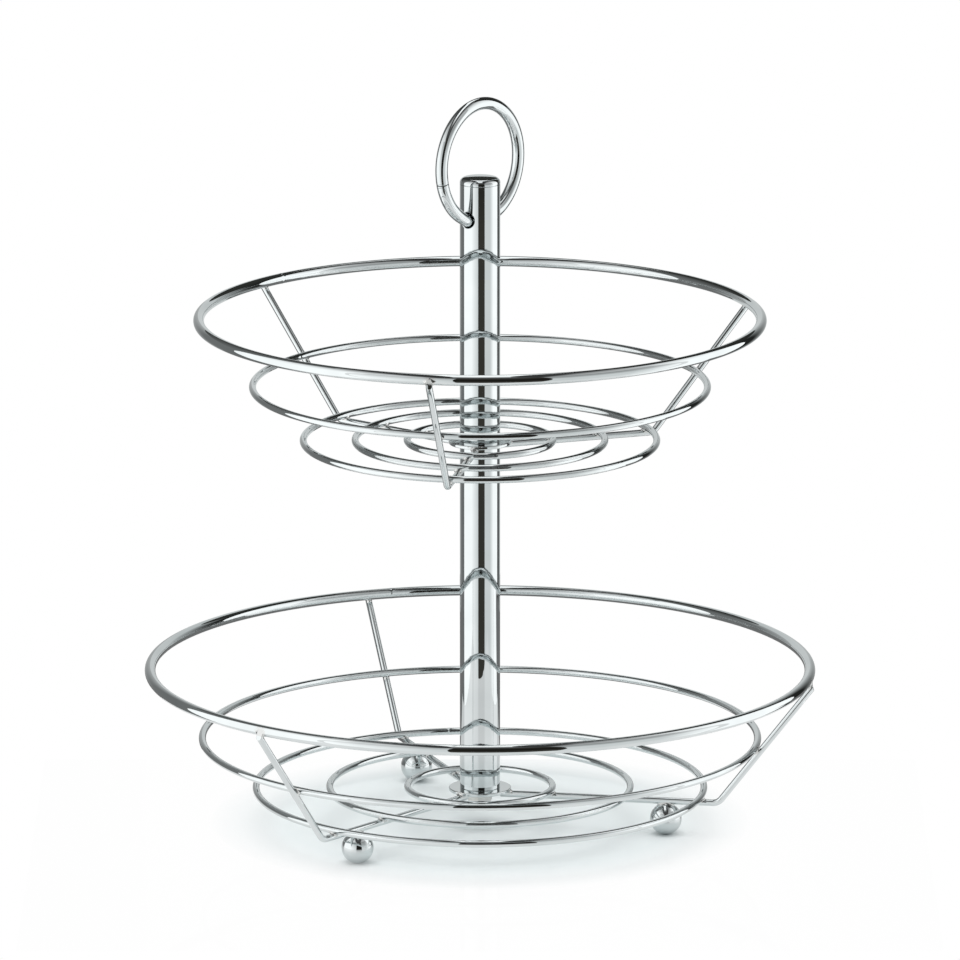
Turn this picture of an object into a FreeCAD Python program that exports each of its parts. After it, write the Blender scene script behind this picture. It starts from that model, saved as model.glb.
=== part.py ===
import FreeCAD, Part
import os
import Sketcher

# Two tier wire basket: two round wire baskets on one post, three ball feet below, a carrying ring on top.
# Millimetres, +Z up. The origin is on the post's axis, on the surface that the basket stands on.
# +X runs along the cross hole that holds the carrying ring.

SPOKES_PER_BASKET = 3
THIRD_OF_A_TURN = 360 / SPOKES_PER_BASKET

Vector = FreeCAD.Vector
ORIGIN = Vector(0, 0, 0)
UPRIGHT = Vector(0, 0, 1)
SIDEWAYS = Vector(1, 0, 0)
# A circle starts at this radius in its sketch, and then takes the radius that the sheet gives it.
FIRST_RADIUS = 1.0

doc = FreeCAD.newDocument("TieredBasket")
pieces = []


# Driving dimensions

DRIVING_SIZES = (
    ("rim_wire", 4.8, "wire diameter of the two rims"),
    ("ring_wire", 3.2, "wire diameter of the other basket rings"),
    ("spoke_wire", 3.0, "wire diameter of the spokes"),
    ("weld_depth", 0.3, "how far two welded wires sink into each other"),
    ("bend_radius", 5.0, "centre line radius of a spoke's bend"),
    ("spoke_overrun", 1.0, "length of spoke past the middle of its rim"),
    ("spoke_gap", 0.5, "gap between the spokes' inner ends and the post"),
    ("lower_rim_radius", 147.7, "lower rim, centre line"),
    ("lower_middle_radius", 124.5, "lower middle ring, centre line"),
    ("lower_outer_radius", 100.5, "lower outer base ring, centre line"),
    ("lower_between_radius", 67.5, "lower middle base ring, centre line"),
    ("lower_inner_radius", 32.5, "lower inner base ring, centre line"),
    ("lower_corner_margin", 7.7, "from the lower outer base ring out to the spoke's corner"),
    ("lower_slope", 52.6, "slope of the lower wall from level, degrees"),
    ("lower_turn", 60.0, "direction of the first lower spoke, degrees"),
    ("upper_rim_radius", 125.1, "upper rim, centre line"),
    ("upper_middle_radius", 101.3, "upper middle ring, centre line"),
    ("upper_outer_radius", 78.8, "upper outer base ring, centre line"),
    ("upper_between_radius", 55.7, "upper middle base ring, centre line"),
    ("upper_inner_radius", 32.5, "upper inner base ring, centre line"),
    ("upper_corner_margin", 3.8, "from the upper outer base ring out to the spoke's corner"),
    ("upper_slope", 50.8, "slope of the upper wall from level, degrees"),
    ("upper_turn", 90.0, "direction of the first upper spoke, degrees"),
    ("ball_diameter", 14.3, "ball foot"),
    ("ball_circle", 84.5, "from the axis to the middle of a ball foot"),
    ("foot_flat", 0.1, "depth of the small flat that a ball stands on"),
    ("foot_weld", 0.4, "how far a spoke sinks into its ball foot"),
    ("post_diameter", 18.0, "outside of the post's tubes"),
    ("post_wall", 1.0, "wall of the post's tubes"),
    ("lower_tube_length", 158.0, "lower tube, between the two hub plates"),
    ("upper_tube_length", 116.6, "upper tube, from its hub plate to the cap"),
    ("hub_diameter", 28.0, "hub plates"),
    ("hub_thickness", 1.6, "hub plates"),
    ("thread_diameter", 6.0, "base screw and joining stud"),
    ("thread_clearance", 0.05, "around a thread in its plug, on the radius"),
    ("bore_clearance", 0.25, "around a thread in a plate or washer, on the radius"),
    ("thread_reach", 10.0, "length of thread inside a plug"),
    ("plug_length", 13.0, "threaded plugs in the tubes"),
    ("plug_clearance", 0.03, "between a plug or the cap's stem and the tube, on the radius"),
    ("washer_diameter", 14.0, "base washer"),
    ("washer_thickness", 1.2, "base washer"),
    ("head_corners", 11.5, "base screw's six sided head, across its corners"),
    ("head_height", 4.0, "base screw's head"),
    ("cap_edge", 2.6, "height of the cap's side above the tube"),
    ("cap_rise", 0.5, "how much higher the cap is at its middle"),
    ("cap_round", 2.3, "rounding of the cap's edge"),
    ("cap_stem", 6.0, "length of the cap's stem inside the tube"),
    ("handle_wire", 5.6, "wire diameter of the ring handle"),
    ("handle_radius", 26.4, "ring handle, centre line"),
    ("handle_seam", 0.25, "gap at the ring handle's butt joint"),
    ("handle_seam_turn", 193.0, "place of the butt joint round the ring, degrees from +X"),
    ("handle_drop", 15.4, "from the top of the tube down to the cross hole"),
    ("handle_clearance", 0.75, "around the ring's wire in the cross hole, on the radius"),
)

sizes = doc.addObject("Spreadsheet::Sheet", "Sizes")
for row, (alias, value, meaning) in enumerate(DRIVING_SIZES, start=1):
    sizes.set("A%d" % row, meaning)
    sizes.set("B%d" % row, str(value))
    sizes.setAlias("B%d" % row, alias)
doc.recompute()


# Sizes and heights that follow from the driving dimensions

derived = doc.addObject("App::VarSet", "Derived")


def derive(name, expression):
    derived.addProperty("App::PropertyFloat", name, "Derived")
    derived.setExpression(name, expression)


# Distances between a spoke's centre line and what is welded to it.
derive("ring_stand", "(Sizes.spoke_wire + Sizes.ring_wire) / 2 - Sizes.weld_depth")
derive("rim_stand", "(Sizes.spoke_wire + Sizes.rim_wire) / 2 - Sizes.weld_depth")
derive("plate_stand", "Sizes.spoke_wire / 2 - Sizes.weld_depth")
derive("spoke_start", "Sizes.post_diameter / 2 + Sizes.spoke_gap")

# Heights, from the floor up.
derive("ball_level", "Sizes.ball_diameter / 2 - Sizes.foot_flat")
derive("ball_top", "Sizes.ball_diameter - Sizes.foot_flat")
derive("lower_run_level", "Derived.ball_top - Sizes.foot_weld + Sizes.spoke_wire / 2")
derive("lower_plate_level", "Derived.lower_run_level + Derived.plate_stand")
derive("lower_tube_level", "Derived.lower_plate_level + Sizes.hub_thickness")
derive("upper_plate_level", "Derived.lower_tube_level + Sizes.lower_tube_length")
derive("upper_run_level", "Derived.upper_plate_level - Derived.plate_stand")
derive("upper_tube_level", "Derived.upper_plate_level + Sizes.hub_thickness")
derive("cap_level", "Derived.upper_tube_level + Sizes.upper_tube_length")
derive("hole_level", "Derived.cap_level - Sizes.handle_drop")

# A ring on the wall touches the spoke's slope, so its height follows from its radius.
for basket in ("lower", "upper"):
    words = {"basket": basket}
    derive(basket + "_base_level", "Derived.%(basket)s_run_level + Derived.ring_stand" % words)
    derive(basket + "_corner", "Sizes.%(basket)s_outer_radius + Sizes.%(basket)s_corner_margin" % words)
    derive(basket + "_tangent", "Sizes.bend_radius * tan(Sizes.%(basket)s_slope / 2)" % words)
    for wall_ring, stand in (("middle", "ring_stand"), ("rim", "rim_stand")):
        words.update(ring=wall_ring, stand=stand)
        reach = (
            "(Sizes.%(basket)s_%(ring)s_radius - Derived.%(basket)s_corner"
            " + Derived.%(stand)s * sin(Sizes.%(basket)s_slope)) / cos(Sizes.%(basket)s_slope)"
        )
        level = (
            "Derived.%(basket)s_run_level + Derived.%(basket)s_%(ring)s_reach * sin(Sizes.%(basket)s_slope)"
            " + Derived.%(stand)s * cos(Sizes.%(basket)s_slope)"
        )
        derive("%s_%s_reach" % (basket, wall_ring), reach % words)
        derive("%s_%s_level" % (basket, wall_ring), level % words)
    slope_length = "Derived.%(basket)s_rim_reach + Sizes.spoke_overrun - Derived.%(basket)s_tangent"
    derive(basket + "_slope_length", slope_length % words)

# The tubes' bore, the threads' holes and the cap.
derive("post_bore", "Sizes.post_diameter / 2 - Sizes.post_wall")
derive("plug_radius", "Derived.post_bore - Sizes.plug_clearance")
derive("tapped_radius", "Sizes.thread_diameter / 2 + Sizes.thread_clearance")
derive("passing_radius", "Sizes.thread_diameter / 2 + Sizes.bore_clearance")

# The ring's centre line crosses the middle of the tube's wall on the axis of the cross hole.
derive("wall_radius", "(Sizes.post_diameter - Sizes.post_wall) / 2")
derive("ring_rise", "sqrt(Sizes.handle_radius ^ 2 - Derived.wall_radius ^ 2)")
derive("ring_level", "Derived.hole_level + Derived.ring_rise")
derive("seam_angle", "2 * asin(Sizes.handle_seam / 2 / Sizes.handle_radius)")
doc.recompute()


# Helpers

def bind(item, **expressions):
    """Tie properties of an object to the sheet. Two underscores in a name stand for a dot."""
    for name, expression in expressions.items():
        item.setExpression(name.replace("__", "."), expression)


def piece(item, label):
    """Name an object that is one physical piece, and keep it for the hand over."""
    item.Label = label
    pieces.append(item)
    return item


def body_sketch(body, name, plane_role):
    """A sketch on one of the body's own origin planes."""
    sketch = body.newObject("Sketcher::SketchObject", name)
    plane = next(f for f in body.Origin.OriginFeatures if f.Role == plane_role)
    sketch.AttachmentSupport = [(plane, "")]
    sketch.MapMode = "FlatFace"
    return sketch


def rule(sketch, name, expression, *definition):
    """Add a constraint with a name, driven by the sheet."""
    number = sketch.addConstraint(Sketcher.Constraint(*definition))
    sketch.renameConstraint(number, name)
    sketch.setExpression("Constraints." + name, expression)


def centred_circle(sketch, name, radius):
    """A circle on the sketch's origin, its radius driven by the sheet."""
    number = sketch.addGeometry(Part.Circle(ORIGIN, UPRIGHT, FIRST_RADIUS))
    sketch.addConstraint(Sketcher.Constraint("Coincident", number, 3, -1, 1))
    rule(sketch, name, radius, "Radius", number, FIRST_RADIUS)


def round_pad(label, radius, bore, length, level):
    """A round piece with a hole through it, padded upwards from its level."""
    body = doc.addObject("PartDesign::Body", label)
    sketch = body_sketch(body, label + "_outline", "XY_Plane")
    centred_circle(sketch, "outside", radius)
    centred_circle(sketch, "bore", bore)
    pad = body.newObject("PartDesign::Pad", label + "_pad")
    pad.Profile = sketch
    bind(pad, Length=length)
    bind(body, Placement__Base__z=level)
    return body


# Wire rings

def wire_ring(label, radius, wire, level):
    ring = doc.addObject("Part::Torus", label)
    bind(ring, Radius1=radius, Radius2=wire + " / 2", Placement__Base__z=level)
    return piece(ring, label)


def basket_rings(basket):
    """The rim, the middle ring on the wall and the three rings of the base."""
    base_level = "Derived.%s_base_level" % basket
    rings = [
        wire_ring(
            basket + "_rim_ring",
            "Sizes.%s_rim_radius" % basket,
            "Sizes.rim_wire",
            "Derived.%s_rim_level" % basket,
        ),
        wire_ring(
            basket + "_middle_ring",
            "Sizes.%s_middle_radius" % basket,
            "Sizes.ring_wire",
            "Derived.%s_middle_level" % basket,
        ),
    ]
    for place, size in (("outer", "outer"), ("middle", "between"), ("inner", "inner")):
        label = "%s_base_ring_%s" % (basket, place)
        rings.append(wire_ring(label, "Sizes.%s_%s_radius" % (basket, size), "Sizes.ring_wire", base_level))
    return rings


# Spokes

def spoke_path(body, basket):
    """The spoke's centre line: level run, bend and slope. Sketch x is the radius, y the height over the run."""
    sketch = body_sketch(body, body.Name + "_path", "XZ_Plane")
    start = Vector(derived.spoke_start, 0, 0)
    bend_radius = sizes.bend_radius
    bend_start = Vector(getattr(derived, basket + "_corner") - getattr(derived, basket + "_tangent"), 0, 0)
    centre = bend_start + Vector(0, bend_radius, 0)
    slope = getattr(sizes, basket + "_slope")
    turn = FreeCAD.Rotation(UPRIGHT, slope)
    bend_end = centre + turn.multVec(Vector(0, -bend_radius, 0))
    top = bend_end + turn.multVec(Vector(getattr(derived, basket + "_slope_length"), 0, 0))
    bend_middle = centre + FreeCAD.Rotation(UPRIGHT, slope / 2).multVec(Vector(0, -bend_radius, 0))
    run_number = sketch.addGeometry(Part.LineSegment(start, bend_start))
    bend_number = sketch.addGeometry(Part.Arc(bend_start, bend_middle, bend_end))
    slope_number = sketch.addGeometry(Part.LineSegment(bend_end, top))
    sketch.addConstraint(Sketcher.Constraint("PointOnObject", run_number, 1, -1))
    sketch.addConstraint(Sketcher.Constraint("Horizontal", run_number))
    sketch.addConstraint(Sketcher.Constraint("Tangent", run_number, 2, bend_number, 1))
    sketch.addConstraint(Sketcher.Constraint("Tangent", bend_number, 2, slope_number, 1))
    rule(sketch, "inner_end", "Derived.spoke_start", "DistanceX", -1, 1, run_number, 1, start.x)
    bend_place = "Derived.%s_corner - Derived.%s_tangent" % (basket, basket)
    rule(sketch, "bend_place", bend_place, "DistanceX", -1, 1, run_number, 2, bend_start.x)
    rule(sketch, "bend_radius", "Sizes.bend_radius", "Radius", bend_number, bend_radius)
    slope_angle = FreeCAD.Units.Quantity("%f deg" % slope)
    rule(sketch, "wall_slope", "Sizes.%s_slope" % basket, "Angle", slope_number, slope_angle)
    length = (top - bend_end).Length
    rule(sketch, "slope_length", "Derived.%s_slope_length" % basket, "Distance", slope_number, length)
    return sketch


def spoke_wire(label, basket, direction):
    """The plain bent wire of one spoke, before its weld seats are pressed in."""
    body = doc.addObject("PartDesign::Body", label + "_wire")
    path = spoke_path(body, basket)
    section = body_sketch(body, body.Name + "_section", "YZ_Plane")
    centred_circle(section, "wire_radius", "Sizes.spoke_wire / 2")
    bind(section, AttachmentOffset__Base__z="Derived.spoke_start")
    pipe = body.newObject("PartDesign::AdditivePipe", body.Name + "_pipe")
    pipe.Profile = section
    pipe.Spine = (path, ["Edge1", "Edge2", "Edge3"])
    # A small turn sets the axis that the direction then turns about.
    body.Placement = FreeCAD.Placement(ORIGIN, FreeCAD.Rotation(UPRIGHT, 1))
    level = "Derived.%s_run_level" % basket
    bind(body, Placement__Rotation__Angle=direction, Placement__Base__z=level)
    return body


def basket_spokes(basket, welded_on):
    """The basket's spokes, each with the seats of what is welded on it. Gives back the plain wires."""
    seats = doc.addObject("Part::Compound", basket + "_weld_seats")
    seats.Links = welded_on
    wires = []
    for number in range(SPOKES_PER_BASKET):
        label = "%s_spoke_%d" % (basket, number + 1)
        direction = "Sizes.%s_turn + %g" % (basket, number * THIRD_OF_A_TURN)
        wire = spoke_wire(label, basket, direction)
        spoke = doc.addObject("Part::Cut", label)
        spoke.Base = wire
        spoke.Tool = seats
        piece(spoke, label)
        wires.append(wire)
    return wires


# Hub plates, ball feet and baskets

def hub_plate(basket):
    label = basket + "_hub_plate"
    level = "Derived.%s_plate_level" % basket
    plate = round_pad(label, "Sizes.hub_diameter / 2", "Derived.passing_radius", "Sizes.hub_thickness", level)
    return piece(plate, label)


def ball_feet(wires):
    """A steel ball under the run of each lower spoke, with the spoke's seat in its top."""
    for number, wire in enumerate(wires):
        label = "foot_ball_%d" % (number + 1)
        direction = "Sizes.lower_turn + %g" % (number * THIRD_OF_A_TURN)
        ball = doc.addObject("Part::Sphere", label + "_round")
        bind(
            ball,
            Radius="Sizes.ball_diameter / 2",
            Angle1="-asin(Derived.ball_level / (Sizes.ball_diameter / 2))",
            Placement__Base__x="Sizes.ball_circle * cos(%s)" % direction,
            Placement__Base__y="Sizes.ball_circle * sin(%s)" % direction,
            Placement__Base__z="Derived.ball_level",
        )
        foot = doc.addObject("Part::Cut", label)
        foot.Base = ball
        foot.Tool = wire
        piece(foot, label)


def wire_basket(basket):
    rings = basket_rings(basket)
    plate = hub_plate(basket)
    return basket_spokes(basket, rings + [plate])


# Post: two tubes, their threaded plugs, the stud between them and the screw below

def post_tube(label, length, level):
    return round_pad(label, "Sizes.post_diameter / 2", "Derived.post_bore", length, level)


def cross_hole(tube):
    """The hole along X, through both walls, that holds the ring handle."""
    sketch = body_sketch(tube, tube.Name + "_cross_hole", "YZ_Plane")
    first_height = sizes.upper_tube_length - sizes.handle_drop
    number = sketch.addGeometry(Part.Circle(Vector(0, first_height, 0), UPRIGHT, FIRST_RADIUS))
    sketch.addConstraint(Sketcher.Constraint("PointOnObject", number, 3, -2))
    hole_height = "Sizes.upper_tube_length - Sizes.handle_drop"
    rule(sketch, "hole_height", hole_height, "DistanceY", -1, 1, number, 3, first_height)
    hole_radius = "Sizes.handle_wire / 2 + Sizes.handle_clearance"
    rule(sketch, "hole_radius", hole_radius, "Radius", number, FIRST_RADIUS)
    pocket = tube.newObject("PartDesign::Pocket", tube.Name + "_pocket")
    pocket.Profile = sketch
    pocket.Type = "ThroughAll"
    pocket.Midplane = True


def threaded_plug(label, level):
    plug = round_pad(label, "Derived.plug_radius", "Derived.tapped_radius", "Sizes.plug_length", level)
    return piece(plug, label)


def lower_post():
    tube = post_tube("lower_post_tube", "Sizes.lower_tube_length", "Derived.lower_tube_level")
    piece(tube, "lower_post_tube")
    threaded_plug("lower_tube_bottom_plug", "Derived.lower_tube_level")
    threaded_plug("lower_tube_top_plug", "Derived.upper_plate_level - Sizes.plug_length")


def upper_post():
    tube = post_tube("upper_post_tube", "Sizes.upper_tube_length", "Derived.upper_tube_level")
    doc.recompute()
    plain_volume = tube.Shape.Volume
    cross_hole(tube)
    doc.recompute()
    if not tube.Shape.Volume < plain_volume:
        raise RuntimeError("the cross hole removed nothing from the upper tube")
    piece(tube, "upper_post_tube")
    threaded_plug("upper_tube_bottom_plug", "Derived.upper_tube_level")


def joining_stud():
    stud = doc.addObject("Part::Cylinder", "joining_stud")
    bind(
        stud,
        Radius="Sizes.thread_diameter / 2",
        Height="Sizes.hub_thickness + 2 * Sizes.thread_reach",
        Placement__Base__z="Derived.upper_plate_level - Sizes.thread_reach",
    )
    piece(stud, "joining_stud")


def base_screw():
    """A six sided screw and its washer, up through the lower hub plate into the tube's plug."""
    washer_level = "Derived.lower_plate_level - Sizes.washer_thickness"
    washer = round_pad(
        "base_washer",
        "Sizes.washer_diameter / 2",
        "Derived.passing_radius",
        "Sizes.washer_thickness",
        washer_level,
    )
    piece(washer, "base_washer")
    head = doc.addObject("Part::Prism", "base_screw_head")
    head.Polygon = 6
    head_level = washer_level + " - Sizes.head_height"
    bind(
        head,
        Circumradius="Sizes.head_corners / 2",
        Height="Sizes.head_height",
        Placement__Base__z=head_level,
    )
    shank = doc.addObject("Part::Cylinder", "base_screw_shank")
    shank_length = "Sizes.head_height + Sizes.washer_thickness + Sizes.hub_thickness + Sizes.thread_reach"
    bind(shank, Radius="Sizes.thread_diameter / 2", Height=shank_length, Placement__Base__z=head_level)
    screw = doc.addObject("Part::Fuse", "base_screw")
    screw.Base = head
    screw.Tool = shank
    screw.Refine = True
    piece(screw, "base_screw")


# Top cap

def cap_profile(body):
    """Half section of the cap: stem, flange and low dome. Sketch y is the height over the tube's top."""
    sketch = body_sketch(body, "top_cap_profile", "XZ_Plane")
    flange = sizes.post_diameter / 2
    stem = derived.plug_radius
    edge = sizes.cap_edge
    crown = edge + sizes.cap_rise
    corners = [(0, -sizes.cap_stem), (stem, -sizes.cap_stem), (stem, 0), (flange, 0), (flange, edge)]
    points = [Vector(x, y, 0) for x, y in corners]
    for first, second in zip(points, points[1:]):
        sketch.addGeometry(Part.LineSegment(first, second))
    shoulder = points[-1]
    top = Vector(0, crown, 0)
    dome_radius = (flange ** 2 + sizes.cap_rise ** 2) / (2 * sizes.cap_rise)
    dome_centre = Vector(0, crown - dome_radius, 0)
    halfway = dome_centre + ((shoulder + top) * 0.5 - dome_centre).normalize() * dome_radius
    dome = sketch.addGeometry(Part.Arc(shoulder, halfway, top))
    axis = sketch.addGeometry(Part.LineSegment(top, points[0]))
    bottom, stem_side, seat, flange_side = range(4)
    for first, second in ((bottom, stem_side), (stem_side, seat), (seat, flange_side), (axis, bottom)):
        sketch.addConstraint(Sketcher.Constraint("Coincident", first, 2, second, 1))
    # The arc runs from the shoulder up to the top.
    sketch.addConstraint(Sketcher.Constraint("Coincident", flange_side, 2, dome, 1))
    sketch.addConstraint(Sketcher.Constraint("Coincident", dome, 2, axis, 1))
    sketch.addConstraint(Sketcher.Constraint("PointOnObject", dome, 3, -2))
    for level_line in (bottom, seat):
        sketch.addConstraint(Sketcher.Constraint("Horizontal", level_line))
    for upright_line in (stem_side, flange_side):
        sketch.addConstraint(Sketcher.Constraint("Vertical", upright_line))
    sketch.addConstraint(Sketcher.Constraint("PointOnObject", axis, 1, -2))
    sketch.addConstraint(Sketcher.Constraint("PointOnObject", axis, 2, -2))
    sketch.addConstraint(Sketcher.Constraint("PointOnObject", seat, 1, -1))
    rule(sketch, "stem_radius", "Derived.plug_radius", "DistanceX", -1, 1, seat, 1, stem)
    rule(sketch, "flange_radius", "Sizes.post_diameter / 2", "DistanceX", -1, 1, seat, 2, flange)
    rule(sketch, "stem_length", "Sizes.cap_stem", "DistanceY", bottom, 2, stem_side, 2, sizes.cap_stem)
    rule(sketch, "edge_height", "Sizes.cap_edge", "DistanceY", flange_side, 1, flange_side, 2, edge)
    rule(sketch, "crown_height", "Sizes.cap_edge + Sizes.cap_rise", "DistanceY", -1, 1, axis, 1, crown)
    return sketch


def lies_at_height(edge, height):
    """True for an edge that runs level at this height."""
    box = edge.BoundBox
    near = 0.001
    return abs(box.ZMin - height) < near and abs(box.ZMax - height) < near


def top_cap():
    body = doc.addObject("PartDesign::Body", "top_cap")
    sketch = cap_profile(body)
    turned = body.newObject("PartDesign::Revolution", "top_cap_turned")
    turned.Profile = sketch
    turned.ReferenceAxis = (sketch, ["V_Axis"])
    turned.Angle = 360
    doc.recompute()
    shoulder = [
        "Edge%d" % number
        for number, edge in enumerate(turned.Shape.Edges, start=1)
        if lies_at_height(edge, sizes.cap_edge)
    ]
    rounded = body.newObject("PartDesign::Fillet", "top_cap_rounded")
    rounded.Base = (turned, shoulder)
    bind(rounded, Radius="Sizes.cap_round")
    bind(body, Placement__Base__z="Derived.cap_level")
    piece(body, "top_cap")


# Ring handle

def ring_handle():
    """An upright ring of wire in the XZ plane, with its butt joint at the seam's turn."""
    ring = doc.addObject("Part::Torus", "ring_handle")
    into_plane = FreeCAD.Rotation(SIDEWAYS, 90)
    to_seam = FreeCAD.Rotation(UPRIGHT, sizes.handle_seam_turn)
    ring.Placement = FreeCAD.Placement(ORIGIN, into_plane.multiply(to_seam))
    bind(
        ring,
        Radius1="Sizes.handle_radius",
        Radius2="Sizes.handle_wire / 2",
        Angle3="360 - Derived.seam_angle",
        Placement__Base__z="Derived.ring_level",
    )
    piece(ring, "ring_handle")


# Hand over

def check_everything():
    for item in doc.Objects:
        if "Invalid" in item.State or "Error" in item.State:
            raise RuntimeError("%s did not compute: %s" % (item.Label, item.State))
    for item in pieces:
        if item.Shape.isNull() or not item.Shape.isValid():
            raise RuntimeError("%s has no valid shape" % item.Label)
        if len(item.Shape.Solids) != 1:
            raise RuntimeError("%s is %d solids, not one" % (item.Label, len(item.Shape.Solids)))


def write_pieces():
    os.makedirs("parts", exist_ok=True)
    for item in pieces:
        item.Shape.exportStep("parts/%s.step" % item.Label)


lower_wires = wire_basket("lower")
ball_feet(lower_wires)
wire_basket("upper")
lower_post()
base_screw()
joining_stud()
upper_post()
top_cap()
ring_handle()
doc.recompute()
check_everything()
write_pieces()
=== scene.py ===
import math
from collections import namedtuple

import bpy
import numpy as np
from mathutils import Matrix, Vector


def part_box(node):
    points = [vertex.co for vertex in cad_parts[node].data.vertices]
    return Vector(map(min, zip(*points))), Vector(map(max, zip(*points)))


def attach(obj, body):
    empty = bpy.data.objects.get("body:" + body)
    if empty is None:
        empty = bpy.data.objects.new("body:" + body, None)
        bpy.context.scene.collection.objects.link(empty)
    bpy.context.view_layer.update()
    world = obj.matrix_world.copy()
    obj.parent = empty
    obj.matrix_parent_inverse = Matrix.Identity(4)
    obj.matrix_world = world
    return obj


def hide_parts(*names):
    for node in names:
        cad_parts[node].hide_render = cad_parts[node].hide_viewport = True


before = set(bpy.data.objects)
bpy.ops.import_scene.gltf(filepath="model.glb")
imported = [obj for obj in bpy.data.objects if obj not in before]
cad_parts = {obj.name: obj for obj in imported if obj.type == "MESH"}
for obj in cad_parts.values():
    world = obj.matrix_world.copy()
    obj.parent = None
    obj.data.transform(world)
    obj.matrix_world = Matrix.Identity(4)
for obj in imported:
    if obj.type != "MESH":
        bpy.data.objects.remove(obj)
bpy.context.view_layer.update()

# Looks of the tiered wire basket, in metres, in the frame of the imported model.
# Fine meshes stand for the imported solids, with welds, eased edges and wire joints added.
# The plugs and the stud inside the post stay as packed and get a material.

MM = 0.001
UP = Vector((0, 0, 1))
STAND = "stand"
CARRYING_RING = "carrying_ring"


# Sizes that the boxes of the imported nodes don't give, the same as in the part's source

SPOKES_PER_BASKET = 3
SPOKE_RADIUS = 1.5 * MM
SPOKE_START = 9.5 * MM
SPOKE_OVERRUN = 1.0 * MM
BEND_RADIUS = 5.0 * MM
WELD_DEPTH = 0.3 * MM
BALL_CIRCLE = 84.5 * MM
POST_BORE = 8.0 * MM
PLATE_BORE = 3.25 * MM
HANDLE_SEAM = 0.25 * MM
HANDLE_SEAM_TURN = math.radians(193.0)
HANDLE_DROP = 15.4 * MM
HANDLE_CLEARANCE = 0.75 * MM
CAP_RISE = 0.5 * MM
CAP_ROUND = 2.3 * MM
PLUG_CLEARANCE = 0.03 * MM
FOOT_FLAT = 0.1 * MM
THREAD_RADIUS = 3.0 * MM
HEAD_HEIGHT = 4.0 * MM

Basket = namedtuple("Basket", "name corner_margin slope turn")
BASKETS = (
    Basket("lower", 7.7 * MM, math.radians(52.6), math.radians(60.0)),
    Basket("upper", 3.8 * MM, math.radians(50.8), math.radians(90.0)),
)
WALL_RINGS = ("middle_ring", "rim_ring")
BASE_RINGS = ("base_ring_outer", "base_ring_middle", "base_ring_inner")

# Looks only: eased edges, wire joints, welds, and how fine the meshes are
CUT_EASE = 0.2 * MM
CUT_SLANT = math.radians(32.0)
CUT_SKEW = math.radians(12.0)
EDGE_EASE = 0.25 * MM
PLATE_EASE = 2 * EDGE_EASE
JOINT_SWELL = 0.025
JOINT_FALL = 4
JOINT_LENGTH = 1.3 * MM
JOINT_STEP = JOINT_LENGTH / 4
JOINT_STEPS = 8
JOINT_CLEAR = 2.5 * JOINT_LENGTH
# Degrees from the first spoke to the first ring's joint, and from each ring's joint to the next one's
FIRST_JOINT = 4
NEXT_JOINT = -8
WIRE_SIDES = 24
RING_STEPS = 216
LATHE_STEPS = 96
ARC_STEPS = 5
BEND_STEPS = 14
WELD_ROUND = 36
WELD_TILTS = 22
WELD_REACH = 4.0 * MM
WELD_BLEND = 1.3 * MM
WELD_INSET = 0.015 * MM
WELD_MARCH = 60
WELD_HALVINGS = 12
WELD_NUDGE = 0.01 * MM

# The photograph's view. The studio is set up to it as well.
VIEW_AZIMUTH = math.radians(-50.0)
VIEW_ELEVATION = math.radians(13.08)
VIEW_DISTANCE = 5.0
VIEW_HEIGHT = 159.3 * MM
IMAGE_SIDE = 960
FOCAL_PIXELS = 11207
SENSOR_WIDTH = 36.0
view_side = Vector((math.cos(VIEW_AZIMUTH), math.sin(VIEW_AZIMUTH), 0))
view_front = Vector((math.sin(VIEW_AZIMUTH), -math.cos(VIEW_AZIMUTH), 0))


# Shader helpers

class Shader:
    """A node material that is put together one node at a time."""

    def __init__(self, name):
        self.material = bpy.data.materials.new(name)
        self.material.use_nodes = True
        self.tree = self.material.node_tree
        self.tree.nodes.clear()

    def add(self, kind, inputs=None, **settings):
        """Add a node. Inputs are values or sockets, by name or number."""
        node = self.tree.nodes.new(kind)
        for name, value in settings.items():
            setattr(node, name, value)
        for name, value in (inputs or {}).items():
            if isinstance(value, bpy.types.NodeSocket):
                self.tree.links.new(value, node.inputs[name])
            else:
                node.inputs[name].default_value = value
        return node

    def noise(self, where, scale, detail=2.0):
        node = self.add("ShaderNodeTexNoise", {"Vector": where, "Scale": scale, "Detail": detail})
        return node.outputs["Fac"]

    def spread(self, value, low, high, to_low, to_high):
        """Map a value from one range to another, held at both ends."""
        inputs = {"Value": value, "From Min": low, "From Max": high, "To Min": to_low, "To Max": to_high}
        return self.add("ShaderNodeMapRange", inputs).outputs["Result"]

    def math(self, operation, first, second):
        return self.add("ShaderNodeMath", {0: first, 1: second}, operation=operation).outputs["Value"]

    def stretch(self, where, scale):
        return self.add("ShaderNodeMapping", {"Vector": where, "Scale": scale}).outputs["Vector"]

    def mix_colour(self, share, first, second):
        node = self.add("ShaderNodeMix", data_type="RGBA")
        for socket, value in ((node.inputs[0], share), (node.inputs[6], first), (node.inputs[7], second)):
            if isinstance(value, bpy.types.NodeSocket):
                self.tree.links.new(value, socket)
            else:
                socket.default_value = value
        return node.outputs[2]

    def bump(self, height, distance, normal=None):
        inputs = {"Height": height, "Distance": distance, "Strength": 1.0}
        if normal is not None:
            inputs["Normal"] = normal
        return self.add("ShaderNodeBump", inputs).outputs["Normal"]

    def metal(self, colour, roughness, normal):
        inputs = {"Base Color": colour, "Metallic": 1.0, "Roughness": roughness, "Normal": normal}
        return self.finish(self.add("ShaderNodeBsdfPrincipled", inputs).outputs["BSDF"])

    def finish(self, surface):
        self.add("ShaderNodeOutputMaterial", {"Surface": surface})
        return self.material


# Materials

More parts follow.
